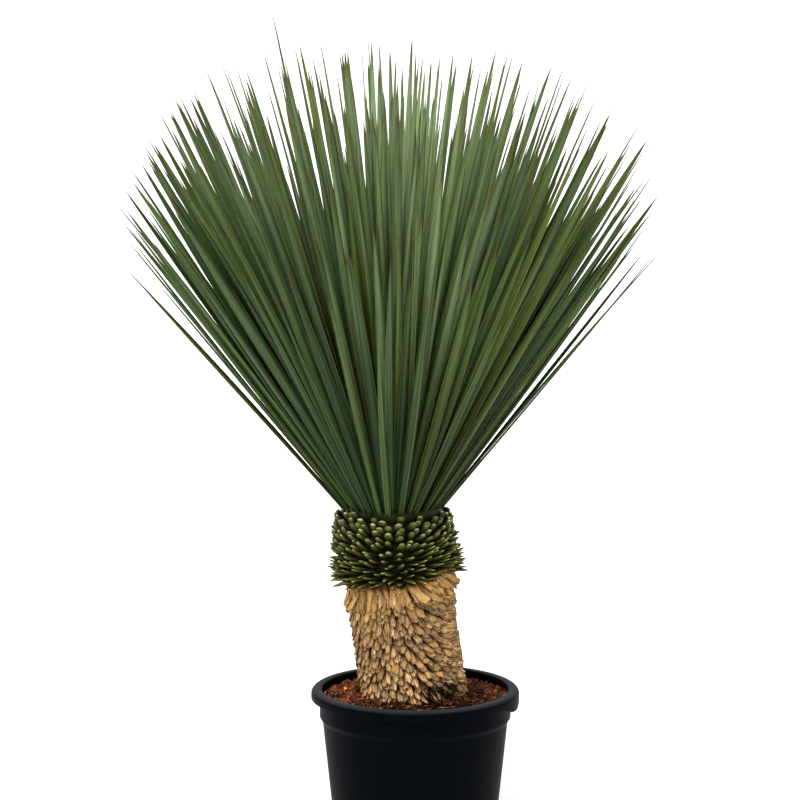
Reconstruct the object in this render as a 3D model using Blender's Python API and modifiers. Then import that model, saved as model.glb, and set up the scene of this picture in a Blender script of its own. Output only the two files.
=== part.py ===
"""A potted beaked yucca: a leaning trunk in a round plastic pot, under a tall fan of stiff leaves.

The trunk's lower part keeps its dry tan leaf bases, the band above it keeps green ones that were
cut back, and the crown of whole leaves spreads from a low dome at the top.

Metres, +Z up, the origin at the centre of the pot's underside, the front towards -Y.
"""
import math

import bmesh
import bpy
import numpy as np

# Pot
RIM_RADIUS = 0.140
RIM_BORE = 0.125
POT_HEIGHT = 0.230
FOOT_RADIUS = 0.105
WALL = 0.0022
FLOOR = 0.0035
RIM_ROUND = 0.007
RIM_LIP = 0.003
SKIRT_HEIGHT = 0.0135
SHOULDER_RADIUS = 0.1285
SHOULDER_HEIGHT = 0.0390
SHOULDER_STEP = 0.0042
SHOULDER_RUN = 0.008
FOOT_ROUND = 0.005
LUG_DROP = 0.0095
LUG_ANGLE = math.radians(-16)
LUG_HALF_ANGLE = math.radians(15)
POT_STEPS = 36

# Soil
SOIL_EDGE = 0.2175
SOIL_HEAP = 0.0055
HEAP_RADIUS = 0.115
HEAP_SLOPE = 0.035
SOIL_GRIT = 0.0011
SOIL_RINGS = (0.0, 0.066, 0.080, 0.093, 0.107)
SOIL_EDGE_ROUND = 0.004

# Trunk: the axis leaves the soil near the pot's centre, leans to -X and straightens higher up
TRUNK_FOOT = 0.150
GROUND = 0.2245
TAN_TOP = 0.3725
GREEN_TOP = 0.4655
LEAN_START = -0.0017
LEAN = -0.0400
LEAN_BOW = 0.0123
ROW_TILT = 0.125
BASE_RADIUS = 0.0682
NECK_RADIUS = 0.0655
BAND_RADIUS = 0.0715
CORE_STEPS = 18

# Dry leaf bases, drawn larger than life
SCALE_SEED = 11
SCALE_COUNT = 132
SCALE_WIDTH = 0.0200
SCALE_LENGTH = 0.0300
SCALE_PROUD = 0.0060
SCALE_SUNK = 0.005
SCALE_ROOT = 0.42
SCALE_TIP = 0.56
SCALE_ROOT_WIDTH = 1.05
SCALE_TIP_WIDTH = 0.80
SWEEP_LEAST = math.radians(4)
SWEEP_MORE = math.radians(50)
SWEEP_SIDE = math.radians(-10)

# Green leaf bases, drawn larger than life
STUB_SEED = 12
STUB_COUNT = 112
STUB_WIDTH = 0.0255
STUB_THICK = 0.0190
STUB_REACH = 0.0130
STUB_SUNK = 0.6
STUB_END = 0.5
STUB_RISE = math.radians(46)
STUB_MARGIN_LOW = 0.0115
STUB_MARGIN_HIGH = 0.0085

# Crown of leaves
FAN_CENTRE = 0.400
FAN_TILT = math.radians(-0.7)
DOME_RADIUS = 0.104
DOME_ANGLE = math.radians(40)
FAN_ANGLE = math.radians(41)
LEAF_SEED = 7
LEAF_COUNT = 306
LEAF_REACH = 0.708
LEAF_SHORTENING = 0.172
SHORTENING_FROM = math.radians(22)
LEAF_WIDTH = 0.0145
LEAF_ROOT_WIDTH = 0.0060
LEAF_WIDEST = 0.66
LEAF_THICK = 0.0024
LEAF_SUNK = 0.010
LEAF_BEND = 0.014
TIP_WIDTH = 0.0012
TIP_THICK = 0.0008
SPEAR_AZIMUTH = math.radians(200)
SPEAR_ANGLE = math.radians(12.6)
SPEAR_REACH = 0.762

# Shared
END_ROWS = 1.18
GAP = 0.0003
GOLDEN_ANGLE = math.pi * (3 - math.sqrt(5))
SHOULDER_LOW = POT_HEIGHT - SHOULDER_HEIGHT
WALL_TOP = SHOULDER_LOW - SHOULDER_RUN
WALL_TOP_RADIUS = SHOULDER_RADIUS - SHOULDER_STEP


def empty_scene():
    """Remove what a new file holds."""
    for item in list(bpy.data.objects):
        bpy.data.objects.remove(item, do_unlink=True)


def collection(name):
    """A new collection in the scene."""
    group = bpy.data.collections.new(name)
    bpy.context.scene.collection.children.link(group)
    return group


def material(name, colour, roughness):
    """A Principled BSDF of one linear colour."""
    finish = bpy.data.materials.new(name)
    finish.use_nodes = True
    shader = finish.node_tree.nodes["Principled BSDF"]
    shader.inputs["Base Color"].default_value = (*colour, 1.0)
    shader.inputs["Roughness"].default_value = roughness
    shader.inputs["Metallic"].default_value = 0.0
    return finish


def mesh_object(name, points, faces, group):
    """An object in a collection, from points and faces."""
    mesh = bpy.data.meshes.new(name)
    mesh.from_pydata([tuple(point) for point in points], [], faces)
    mesh.update()
    item = bpy.data.objects.new(name, mesh)
    group.objects.link(item)
    return item


def baked(item):
    """The object with its modifiers applied to its mesh."""
    graph = bpy.context.evaluated_depsgraph_get()
    mesh = bpy.data.meshes.new_from_object(item.evaluated_get(graph))
    item.modifiers.clear()
    old = item.data
    item.data = mesh
    bpy.data.meshes.remove(old)
    mesh.name = item.name
    return item


def turned(name, profile, steps, group):
    """A profile of (radius, height) points turned about Z, its outer side run from top to bottom."""
    points = [(radius, 0.0, height) for radius, height in profile]
    edges = [(i, i + 1) for i in range(len(points) - 1)]
    mesh = bpy.data.meshes.new(name)
    mesh.from_pydata(points, edges, [])
    item = bpy.data.objects.new(name, mesh)
    group.objects.link(item)
    screw = item.modifiers.new("Turn", "SCREW")
    screw.steps = steps
    screw.render_steps = steps
    screw.use_merge_vertices = True
    screw.merge_threshold = 0.00001
    return baked(item)


def arc(radius, height, size, start, end, count):
    """Points of a quarter round in a profile, from one angle to another, in degrees."""
    angles = np.radians(np.linspace(start, end, count))
    return [(radius + size * math.cos(a), height + size * math.sin(a)) for a in angles]


def moved(item, rule):
    """Move every point of a mesh by a rule on the array of points."""
    flat = np.empty(len(item.data.vertices) * 3)
    item.data.vertices.foreach_get("co", flat)
    item.data.vertices.foreach_set("co", rule(flat.reshape(-1, 3)).ravel())
    item.data.update()
    return item


def finish(item, colour_material, smooth=False):
    """Give an object its material and shade round faces smooth."""
    item.data.materials.clear()
    item.data.materials.append(colour_material)
    if smooth:
        item.data.shade_smooth()
        item.data.set_sharp_from_angle(angle=math.radians(35))
    return item


def trunk_axis(height):
    """The trunk's centre in X at a height: a lean that eases off towards the crown."""
    t = (height - GROUND) / (GREEN_TOP - GROUND)
    return LEAN_START + LEAN * t + LEAN_BOW * t * t


def core_radius(height):
    """The trunk's core: it narrows up its tan part and is stouter in the green band."""
    t = np.clip((height - GROUND) / (TAN_TOP - GROUND), 0.0, 1.0)
    return np.where(height > TAN_TOP, BAND_RADIUS, BASE_RADIUS + (NECK_RADIUS - BASE_RADIUS) * t)


def leaned(points):
    """Take points of an upright trunk to the leaning one: rows of leaf bases tilt with the lean."""
    t = np.clip((points[..., 2] - GROUND) / (GREEN_TOP - GROUND), 0.0, 1.0)
    shift = np.zeros_like(points)
    shift[..., 0] = trunk_axis(points[..., 2])
    shift[..., 2] = ROW_TILT * np.sin(math.pi * t) * points[..., 0]
    return points + shift


def loft(name, rings, group):
    """A closed solid through rings of points, shape (stations, sides, 3), each run the same way."""
    stations, sides = rings.shape[:2]
    faces = [tuple(range(sides))[::-1]]
    for i in range(stations - 1):
        for j in range(sides):
            k = (j + 1) % sides
            faces.append((i * sides + j, i * sides + k, (i + 1) * sides + k, (i + 1) * sides + j))
    faces.append(tuple(range((stations - 1) * sides, stations * sides)))
    item = mesh_object(name, rings.reshape(-1, 3), faces, group)
    shape = bmesh.new()
    shape.from_mesh(item.data)
    bmesh.ops.recalc_face_normals(shape, faces=shape.faces)
    shape.to_mesh(item.data)
    shape.free()
    return item


def fused(core, repeats):
    """One Boolean union of a core with a collection of repeats, which then go."""
    union = core.modifiers.new("Grown together", "BOOLEAN")
    union.operation = "UNION"
    union.operand_type = "COLLECTION"
    union.collection = repeats
    union.solver = "MANIFOLD"
    baked(core)
    for item in list(repeats.objects):
        bpy.data.objects.remove(item, do_unlink=True)
    bpy.data.collections.remove(repeats)
    return outer_skin(core)


def outer_skin(item):
    """Keep a mesh's largest connected surface, which fills sealed hollows and drops loose scraps."""
    shape = bmesh.new()
    shape.from_mesh(item.data)
    left = set(shape.faces)
    surfaces = []
    while left:
        reached = [left.pop()]
        surface = []
        while reached:
            face = reached.pop()
            surface.append(face)
            near = {other for edge in face.edges for other in edge.link_faces} & left
            left -= near
            reached.extend(near)
        surfaces.append(surface)
    surfaces.sort(key=len)
    for surface in surfaces[:-1]:
        bmesh.ops.delete(shape, geom=surface, context="FACES")
    shape.to_mesh(item.data)
    shape.free()
    return item


def wall_radius(height):
    """The pot's outer radius at a height on its tapered wall."""
    return FOOT_RADIUS + (WALL_TOP_RADIUS - FOOT_RADIUS) * height / WALL_TOP


def drop_lug(points):
    """Lower the skirt's edge into a small rounded lug near the +X side."""
    points = points.copy()
    radius = np.hypot(points[:, 0], points[:, 1])
    angle = np.arctan2(points[:, 1], points[:, 0]) - LUG_ANGLE
    skirt_low = POT_HEIGHT - SKIRT_HEIGHT
    edge = (radius > RIM_RADIUS - 1.5 * WALL) & (np.abs(points[:, 2] - skirt_low) < 1.5 * WALL)
    near = np.clip(1 - (angle / LUG_HALF_ANGLE) ** 2, 0.0, 1.0)
    points[:, 2] -= np.where(edge, LUG_DROP * near, 0.0)
    return points


def pot(group):
    """A thin-walled round pot: rolled rim with a skirt, a shoulder band and a tapered wall."""
    lip_low = POT_HEIGHT - RIM_LIP
    skirt_low = POT_HEIGHT - SKIRT_HEIGHT
    rim_under = lip_low - WALL / 2
    corner = FLOOR + FOOT_ROUND
    inside = [(0.0, FLOOR), (wall_radius(FLOOR) - WALL - FOOT_ROUND, FLOOR)]
    inside += [(wall_radius(corner) - WALL, corner), (WALL_TOP_RADIUS - WALL, WALL_TOP)]
    inside += [(RIM_BORE, SHOULDER_LOW)]
    rim = arc(RIM_BORE + RIM_LIP, lip_low, RIM_LIP, 180, 90, 3)
    rim += arc(RIM_RADIUS - RIM_ROUND, POT_HEIGHT - RIM_ROUND, RIM_ROUND, 90, 0, 4)
    skirt = [(RIM_RADIUS, skirt_low + WALL), (RIM_RADIUS - WALL / 2, skirt_low)]
    skirt += [(RIM_RADIUS - WALL, skirt_low + WALL / 2), (RIM_RADIUS - RIM_ROUND, rim_under)]
    outside = [(SHOULDER_RADIUS, rim_under), (SHOULDER_RADIUS, SHOULDER_LOW), (WALL_TOP_RADIUS, WALL_TOP)]
    outside += [(wall_radius(FOOT_ROUND), FOOT_ROUND), (FOOT_RADIUS - FOOT_ROUND / 2, 0.0), (0.0, 0.0)]
    item = moved(turned("pot", inside + rim + skirt + outside, POT_STEPS, group), drop_lug)
    return finish(item, material("black_polypropylene", (0.010, 0.012, 0.016), 0.45), smooth=True)


def soil_height(x, y):
    """The soil's surface: heaped towards the trunk and crumbly all over."""
    heap = np.clip((HEAP_RADIUS - np.hypot(x, y)) / HEAP_SLOPE, 0.0, 1.0)
    grit = np.sin(310 * x + 1.3) * np.sin(290 * y + 0.4) + np.sin(170 * x - 230 * y) * 0.6
    return SOIL_EDGE + SOIL_HEAP * heap * heap * (3 - 2 * heap) + SOIL_GRIT * grit


def crumble(points):
    """Raise the soil's flat top to its surface."""
    points = points.copy()
    top = points[:, 2] > SOIL_EDGE - GAP
    points[top, 2] = soil_height(points[top, 0], points[top, 1])
    return points


def soil(group, cutters):
    """A plug of coir that fills the pot, with a plain hole for the trunk's foot."""
    clear = WALL + GAP
    low = FLOOR + GAP
    corner = low + FOOT_ROUND
    edge = RIM_BORE - GAP
    profile = [(radius, SOIL_EDGE) for radius in SOIL_RINGS + (edge - SOIL_EDGE_ROUND,)]
    profile += [(edge, SOIL_EDGE - SOIL_EDGE_ROUND), (edge, SHOULDER_LOW)]
    profile += [(WALL_TOP_RADIUS - clear, WALL_TOP), (wall_radius(corner) - clear, corner)]
    profile += [(wall_radius(FLOOR) - clear - FOOT_ROUND, low), (0.0, low)]
    item = moved(turned("soil", profile, POT_STEPS, group), crumble)
    hole = trunk_core("soil_hole", TRUNK_FOOT - GAP, POT_HEIGHT, GAP, cutters)
    hole.hide_render = True
    hole.display_type = "WIRE"
    cut = item.modifiers.new("Trunk hole", "BOOLEAN")
    cut.operation = "DIFFERENCE"
    cut.object = hole
    baked(item)
    return finish(item, material("coir_soil", (0.095, 0.036, 0.018), 0.95))


def trunk_core(name, low, high, swell, group):
    """The trunk's plain core between two heights, made thicker all round by swell."""
    heights = np.linspace(high, low, 6)
    side = [(float(core_radius(z)) + swell, float(z)) for z in heights]
    return moved(turned(name, [(0.0, high)] + side + [(0.0, low)], CORE_STEPS, group), leaned)


def skin_frames(azimuths, heights):
    """Points on the upright core with their outward, sideways and upward directions."""
    outward = np.stack([np.cos(azimuths), np.sin(azimuths), np.zeros_like(azimuths)], axis=-1)
    sideways = np.stack([-np.sin(azimuths), np.cos(azimuths), np.zeros_like(azimuths)], axis=-1)
    upward = np.tile([0.0, 0.0, 1.0], (len(azimuths), 1))
    surface = upward * heights[:, None] + outward * core_radius(heights)[:, None]
    return surface, outward, sideways, upward


def spread_heights(lowest, highest, count):
    """Heights that rise step by step between two limits, with a fuller row at either end."""
    share = END_ROWS * ((np.arange(count) + 0.5) / count - 0.5) + 0.5
    return lowest + (highest - lowest) * np.clip(share, 0.0, 1.0)


def scale_sweep(azimuth):
    """How far a dry leaf base turns sideways from hanging straight down, most on the +X side."""
    return SWEEP_LEAST + SWEEP_MORE * np.clip(np.cos(azimuth - SWEEP_SIDE), 0.0, 1.0) ** 1.5


def trunk(group):
    """The trunk from its foot in the soil to the green band, shingled with dry leaf bases."""
    core = trunk_core("trunk", TRUNK_FOOT, TAN_TOP, 0.0, group)
    repeats = collection("dry_leaf_bases")
    rng = np.random.default_rng(SCALE_SEED)
    draws = rng.uniform(-1.0, 1.0, (SCALE_COUNT, 4))
    index = np.arange(SCALE_COUNT)
    azimuth = index * GOLDEN_ANGLE + 0.06 * draws[:, 0]
    sweep = scale_sweep(azimuth) + 0.15 * draws[:, 1]
    length = SCALE_LENGTH * (1 + 0.12 * draws[:, 2])
    drop = length * np.cos(sweep)
    slant = 0.5 * SCALE_WIDTH * np.abs(np.sin(sweep))
    lowest = GROUND + SCALE_TIP * drop + SCALE_TIP_WIDTH * slant
    highest = TAN_TOP - SCALE_ROOT * drop - SCALE_ROOT_WIDTH * slant - GAP
    height = spread_heights(lowest, highest, SCALE_COUNT)
    point, outward, sideways, upward = skin_frames(azimuth, height)
    along = -upward * np.cos(sweep)[:, None] + sideways * np.sin(sweep)[:, None]
    across = np.cross(outward, along)
    proud = SCALE_PROUD * (1 + 0.25 * draws[:, 3])
    for i in index:
        root = point[i] - along[i] * length[i] * SCALE_ROOT - outward[i] * SCALE_SUNK
        tip = point[i] + along[i] * length[i] * SCALE_TIP
        wide = across[i] * SCALE_WIDTH * SCALE_ROOT_WIDTH / 2
        slim = across[i] * SCALE_WIDTH * SCALE_TIP_WIDTH / 2
        rings = [[root - wide, root + wide, root + outward[i] * (SCALE_SUNK + SCALE_PROUD / 6)]]
        rings += [[tip - slim, tip + slim, tip + outward[i] * proud[i]]]
        loft(f"scale_{i}", leaned(np.array(rings)), repeats)
    fused(core, repeats)
    return finish(core, material("dry_leaf_bases", (0.43, 0.28, 0.13), 0.85))


def green_leaf_bases(group):
    """The band below the leaves: a core set with cut green leaf bases, upright above, level below."""
    low = TAN_TOP + GAP
    core = trunk_core("green_leaf_bases", low, GREEN_TOP, 0.0, group)
    repeats = collection("green_stubs")
    rng = np.random.default_rng(STUB_SEED)
    draws = rng.uniform(-1.0, 1.0, (STUB_COUNT, 4))
    index = np.arange(STUB_COUNT)
    share = (index + 0.5) / STUB_COUNT
    azimuth = index * GOLDEN_ANGLE + 0.05 * draws[:, 0]
    height = spread_heights(low + STUB_MARGIN_LOW, GREEN_TOP - STUB_MARGIN_HIGH, STUB_COUNT)
    point, outward, sideways, upward = skin_frames(azimuth, height)
    rise = STUB_RISE * share ** 1.5 + np.radians(5 * draws[:, 1])
    along = outward * np.cos(rise)[:, None] + upward * np.sin(rise)[:, None]
    over = np.cross(along, sideways)
    reach = STUB_REACH * (1.25 - 0.35 * share) * (1 + 0.15 * draws[:, 2])
    width = STUB_WIDTH * (0.75 + 0.25 * share)
    thick = STUB_THICK * (0.60 + 0.40 * share)
    for i in index:
        rings = []
        for t, size in ((-STUB_SUNK, 1.0), (1.0, STUB_END)):
            centre = point[i] + along[i] * reach[i] * t
            half = sideways[i] * width[i] * size / 2
            rest = over[i] * thick[i] * size / 2
            rings.append([centre - half, centre + rest, centre + half, centre - rest])
        loft(f"stub_{i}", leaned(np.array(rings)), repeats)
    fused(core, repeats)
    return finish(core, material("green_leaf_bases", (0.045, 0.065, 0.014), 0.6))


def leaf_paths():
    """Direction, reach, bow and twist of every leaf, by the golden angle over a part of a sphere.

    The leaves point away from one centre low in the trunk. A leaf's angle from upright grows so
    that they are spread evenly over the cap, and the outermost leaves are shorter.
    """
    rng = np.random.default_rng(LEAF_SEED)
    draws = rng.uniform(-1.0, 1.0, (LEAF_COUNT, 6))
    index = np.arange(LEAF_COUNT)
    azimuth = index * GOLDEN_ANGLE + 0.03 * draws[:, 0]
    share = (index + 0.5) / LEAF_COUNT
    angle = np.arccos(1 - share * (1 - math.cos(FAN_ANGLE))) + 0.012 * draws[:, 1]
    late = np.clip((angle - SHORTENING_FROM) / (FAN_ANGLE - SHORTENING_FROM), 0.0, 1.1)
    reach = (LEAF_REACH - LEAF_SHORTENING * late ** 2) * (0.972 + 0.028 * draws[:, 2])
    azimuth[0], angle[0], reach[0] = SPEAR_AZIMUTH, SPEAR_ANGLE, SPEAR_REACH
    return azimuth, angle, reach, draws[:, 3:]


def leaf_crown(group):
    """A low dome with stiff, keeled leaves that spread from it like a fan in every direction."""
    centre = np.array([trunk_axis(GREEN_TOP), 0.0, FAN_CENTRE])
    low = GREEN_TOP + GAP
    cap = arc(0.0, FAN_CENTRE, DOME_RADIUS, 90, 90 - math.degrees(DOME_ANGLE), 5)
    neck = DOME_RADIUS * math.sin(DOME_ANGLE)
    core = turned("leaf_crown", cap + [(neck - 0.003, low), (0.0, low)], CORE_STEPS, group)
    moved(core, lambda points: points + [centre[0], 0.0, 0.0])
    repeats = collection("leaves")
    azimuth, angle, reach, draws = leaf_paths()
    upright = np.array([math.sin(FAN_TILT), 0.0, math.cos(FAN_TILT)])
    level = np.array([math.cos(FAN_TILT), 0.0, -math.sin(FAN_TILT)])
    stations = np.array([0.0, LEAF_WIDEST, 1.0])
    widths = np.array([LEAF_ROOT_WIDTH, LEAF_WIDTH, TIP_WIDTH])
    thicks = np.array([LEAF_THICK, LEAF_THICK, TIP_THICK])
    root = DOME_RADIUS - LEAF_SUNK
    for i in range(LEAF_COUNT):
        radial = level * math.cos(azimuth[i]) + np.array([0.0, math.sin(azimuth[i]), 0.0])
        side = np.cross(upright, radial)
        along = radial * math.sin(angle[i]) + upright * math.cos(angle[i])
        turn = 0.5 * draws[i, 0]
        outer = np.cross(side, along)
        across = side * math.cos(turn) + outer * math.sin(turn)
        keel = np.cross(across, along)
        run = root + (reach[i] - root) * stations
        bow = LEAF_BEND * draws[i, 1] * stations ** 2
        sway = LEAF_BEND * draws[i, 2] * stations ** 2
        spine = centre + along * run[:, None] + outer * bow[:, None] + side * sway[:, None]
        half = across * (widths / 2)[:, None]
        ridge = keel * thicks[:, None]
        loft(f"leaf_{i}", np.stack([spine - half, spine + half, spine + ridge], axis=1), repeats)
    fused(core, repeats)
    return finish(core, material("green_leaves", (0.060, 0.120, 0.045), 0.5))


def main():
    """Build the plant and its pot."""
    empty_scene()
    group = collection("potted_beaked_yucca")
    cutters = collection("cutters")
    pot(group)
    soil(group, cutters)
    trunk(group)
    green_leaf_bases(group)
    leaf_crown(group)


main()
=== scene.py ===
# %% [markdown]
# # A potted beaked yucca
# The plant is a short leaning trunk in a round nursery pot, with a fan of stiff leaves above.
# Its lower trunk is shingled with dry tan leaf bases, and the band above still has green ones that
# were cut back. This lesson dresses the plain solids of the plant with finer surfaces, each worked
# out as arrays of numbers, and gives every surface a material built from nodes.

# %% Load the frame
import math

import bpy
import numpy as np
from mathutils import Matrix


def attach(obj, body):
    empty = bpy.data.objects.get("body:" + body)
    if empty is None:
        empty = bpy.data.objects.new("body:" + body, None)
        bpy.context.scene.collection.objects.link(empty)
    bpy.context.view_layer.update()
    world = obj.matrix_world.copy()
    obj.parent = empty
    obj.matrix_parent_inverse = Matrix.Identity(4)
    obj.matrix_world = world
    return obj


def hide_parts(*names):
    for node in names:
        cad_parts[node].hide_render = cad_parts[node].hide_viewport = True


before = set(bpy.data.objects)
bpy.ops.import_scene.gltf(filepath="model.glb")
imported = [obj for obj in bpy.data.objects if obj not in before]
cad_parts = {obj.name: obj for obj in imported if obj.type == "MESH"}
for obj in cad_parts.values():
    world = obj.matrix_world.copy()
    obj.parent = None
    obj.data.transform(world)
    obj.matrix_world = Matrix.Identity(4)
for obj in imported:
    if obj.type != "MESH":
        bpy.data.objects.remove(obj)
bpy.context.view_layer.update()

# %% [markdown]
# ## Small tools
# Colours are easiest to write as the hex codes of a paint program, but light adds up in linear
# numbers, so one function turns the first into the second. Another adds a node to a material: it
# takes the node's settings and what feeds it, so that a material reads like a recipe. A third
# connects the last nodes to the material's own shader.

# %% Colours and nodes
INPUTS = {"Mix": (0, 6, 7), "Bump": ("Height",)}
MIX_OUT = 2
COLOURS = {"data_type": "RGBA"}
TINT = {"data_type": "RGBA", "blend_type": "MULTIPLY"}
TIMES = {"operation": "MULTIPLY"}


def linear(code):
    """An sRGB hex code as linear RGBA: c / 12.92 when dark, else ((c + 0.055) / 1.055) ** 2.4."""
    channels = np.array([int(code[i:i + 2], 16) for i in (1, 3, 5)]) / 255
    channels = np.where(channels <= 0.04045, channels / 12.92, ((channels + 0.055) / 1.055) ** 2.4)
    return (*channels.tolist(), 1.0)


def feed(material, socket, source):
    """Give an input a number, a hex colour, another node's socket or another node's main output."""
    if isinstance(source, (float, str)):
        socket.default_value = linear(source) if isinstance(source, str) else source
        return
    if isinstance(source, bpy.types.Node):
        source = source.outputs[MIX_OUT if source.bl_idname == "ShaderNodeMix" else 0]
    material.node_tree.links.new(source, socket)


def add(material, kind, settings=(), *sources):
    """Add one node to a material, with its settings and what feeds its inputs, in their order.

    The setting "stops" lists a colour ramp's places and colours. A Mix node's inputs are its
    factor and two colours, and a Bump node's is its height.
    """
    node = material.node_tree.nodes.new("ShaderNode" + kind)
    for key, value in dict(settings).items():
        if key == "stops":
            elements = node.color_ramp.elements
            elements.remove(elements[-1])
            elements[0].position, elements[0].color = value[0][0], linear(value[0][1])
            for place, code in value[1:]:
                elements.new(place).color = linear(code)
        elif hasattr(node, key):
            setattr(node, key, value)
        else:
            node.inputs[key].default_value = value
    for key, source in zip(INPUTS.get(kind, range(len(node.inputs))), sources):
        feed(material, node.inputs[key], source)
    return node


def new_material(name, sockets):
    """A material whose Principled BSDF has these even values."""
    material = bpy.data.materials.new(name)
    material.use_nodes = True
    for key, value in sockets.items():
        material.node_tree.nodes["Principled BSDF"].inputs[key].default_value = value
    return material


def surface(material, links):
    """Feed the material's own shader from its last nodes."""
    for key, source in links.items():
        feed(material, material.node_tree.nodes["Principled BSDF"].inputs[key], source)
    print(f"{material.name}: {len(material.node_tree.nodes)} nodes")


# %% [markdown]
# ## From arrays to meshes
# A leaf, a knob and a strand are all tubes: rings of points along a path, closed at both ends. They
# could be curves with a round section, but as rings of many copies in one array their sections can
# be anything, and the faces of one copy serve for all of them, shifted by the number of points in a
# copy. The signed volume tells whether a copy is inside out.

# %% Rings to closed tubes
def unit(value):
    """The value held between 0 and 1."""
    return np.clip(value, 0, 1)


def per_copy(*values):
    """One value for each copy, shaped to go with (copies, stations, sides)."""
    return [value[:, None, None] for value in values]


def circle(steps):
    """Even angles round a circle."""
    return np.arange(steps) * 2 * math.pi / steps


def ring_quads(rings, sides):
    """Quads between neighbouring rings, where point j of ring i has the number i * sides + j."""
    i, j = np.meshgrid(np.arange(rings - 1), np.arange(sides), indexing="ij")
    k = (j + 1) % sides
    corners = [i * sides + j, i * sides + k, (i + 1) * sides + k, (i + 1) * sides + j]
    return np.stack(corners, axis=-1).reshape(-1, 4)


def tube_quads(stations, sides):
    """Quads of a closed tube of rings: its wall, and each end filled by a strip across the ring."""
    first = np.arange(sides // 2 - 1)
    strip = np.stack([first, first + 1, sides - 2 - first, sides - 1 - first], axis=-1)
    far_end = strip + (stations - 1) * sides
    return np.concatenate([ring_quads(stations, sides), strip[:, ::-1], far_end])


def volumes(points, faces):
    """Each copy's signed volume: the sum of a . (b x c) / 6 over the triangles of its faces."""
    corner = points[:, faces]
    total = np.zeros(len(points))
    for second in range(1, faces.shape[1] - 1):
        normal = np.cross(corner[:, :, second], corner[:, :, second + 1])
        total += np.einsum("cfx,cfx->c", corner[:, :, 0], normal) / 6
    return total


def facing_out(points, faces):
    """Faces of every copy, turned round where its volume is negative. points is (copies, n, 3)."""
    shifted = faces[None] + points.shape[1] * np.arange(len(points))[:, None, None]
    inside_out = (volumes(points, faces) < 0)[:, None, None]
    return np.where(inside_out, shifted[:, :, ::-1], shifted).reshape(-1, faces.shape[1])


def new_object(name, data):
    """An object with this data, linked into the scene."""
    made = bpy.data.objects.new(name, data)
    bpy.context.scene.collection.objects.link(made)
    return made


def mesh_piece(name, points, faces, material, replaced=(), uv=None, tone=None, smooth=True):
    """A piece from points (n, 3) and blocks of faces; uv (n, 2) and tone (n, 4) go with points."""
    corners = np.concatenate([block.ravel() for block in faces])
    sizes = np.concatenate([np.full(len(block), block.shape[1]) for block in faces])
    starts = np.concatenate([[0], np.cumsum(sizes)[:-1]])
    mesh = bpy.data.meshes.new(name)
    mesh.vertices.add(len(points))
    mesh.vertices.foreach_set("co", points.astype(np.float32).ravel())
    mesh.loops.add(len(corners))
    mesh.loops.foreach_set("vertex_index", corners.astype(np.int32))
    mesh.polygons.add(len(sizes))
    mesh.polygons.foreach_set("loop_start", starts.astype(np.int32))
    mesh.update(calc_edges=True)
    if uv is not None:
        layer = mesh.uv_layers.new(name="surface")
        layer.data.foreach_set("uv", uv[corners].astype(np.float32).ravel())
    if tone is not None:
        attribute = mesh.attributes.new("tone", "FLOAT_COLOR", "POINT")
        attribute.data.foreach_set("color", tone.astype(np.float32).ravel())
    if smooth:
        mesh.shade_smooth()
    mesh.materials.append(material)
    piece = new_object(name, mesh)
    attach(piece, "root")
    if replaced:
        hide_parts(*replaced)
    print(f"{name}: {len(points)} points, {int((sizes - 2).sum())} triangles")


def tube_faces(points, sides):
    """Faces of many closed tubes with the same rings, points (copies, stations * sides, 3)."""
    return facing_out(points, tube_quads(points.shape[1] // sides, sides))


# %% [markdown]
# ## Camera, floor and light
# The plant was seen from a little above its pot through a long lens, which keeps the pot's sides
# almost parallel. The floor is one wide pale sheet, and it fills the whole background because the
# camera looks down at it. A white sky and a broad sun give the even light of a studio.

# %% Camera
PITCH_DOWN = math.radians(9.681498)

camera_data = bpy.data.cameras.new("studio_camera")
camera_data.lens = 188.80955
camera_data.sensor_width = 36.0
camera_data.clip_end = 200.0
camera = new_object("studio_camera", camera_data)
camera.location = (-0.020452, -5.5, 1.56059)
camera.rotation_euler = (math.pi / 2 - PITCH_DOWN, 0.0, 0.0)
bpy.context.scene.camera = camera
bpy.context.scene.view_settings.view_transform = "Standard"
print("camera", [round(value, 3) for value in camera.location], "lens", round(camera_data.lens, 1))

# %% Floor, sky and sun
# Matt studio paper: pressed fibres that scatter the light evenly, with a barely visible mottle.
FLOOR_HALF = 80.0

paper = new_material("matt_studio_paper", {"Roughness": 0.9, "Specular IOR Level": 0.1})
place = add(paper, "TexCoord").outputs["Object"]
mottle = add(paper, "TexNoise", {"Scale": 60.0, "Detail": 3.0}, place)
tint = add(paper, "ValToRGB", {"stops": [(0.3, "#fbfbfb"), (0.7, "#fdfdfd")]}, mottle)
surface(paper, {"Base Color": tint})

floor_mesh = bpy.data.meshes.new("studio_floor")
floor_corners = FLOOR_HALF * np.array([[-1, -1, 0], [1, -1, 0], [1, 1, 0], [-1, 1, 0]])
floor_mesh.from_pydata(floor_corners.tolist(), [], [(0, 1, 2, 3)])
floor_mesh.materials.append(paper)
floor = new_object("studio_floor", floor_mesh)

sky = bpy.data.worlds.new("white_sky")
sky.use_nodes = True
sky.node_tree.nodes["Background"].inputs["Color"].default_value = (1.0, 1.0, 1.0, 1.0)
sky.node_tree.nodes["Background"].inputs["Strength"].default_value = 1.05
bpy.context.scene.world = sky

# The sun is 35 degrees wide, stands 56 degrees up and 18 degrees to the left of the camera.
softbox = bpy.data.lights.new("key_softbox", "SUN")
softbox.energy = 2.8
softbox.angle = math.radians(35)
lamp = new_object("key_softbox", softbox)
lamp.rotation_euler = (math.radians(90 - 56), 0.0, math.radians(-18))
print("floor, sky and key light are set")

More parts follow.
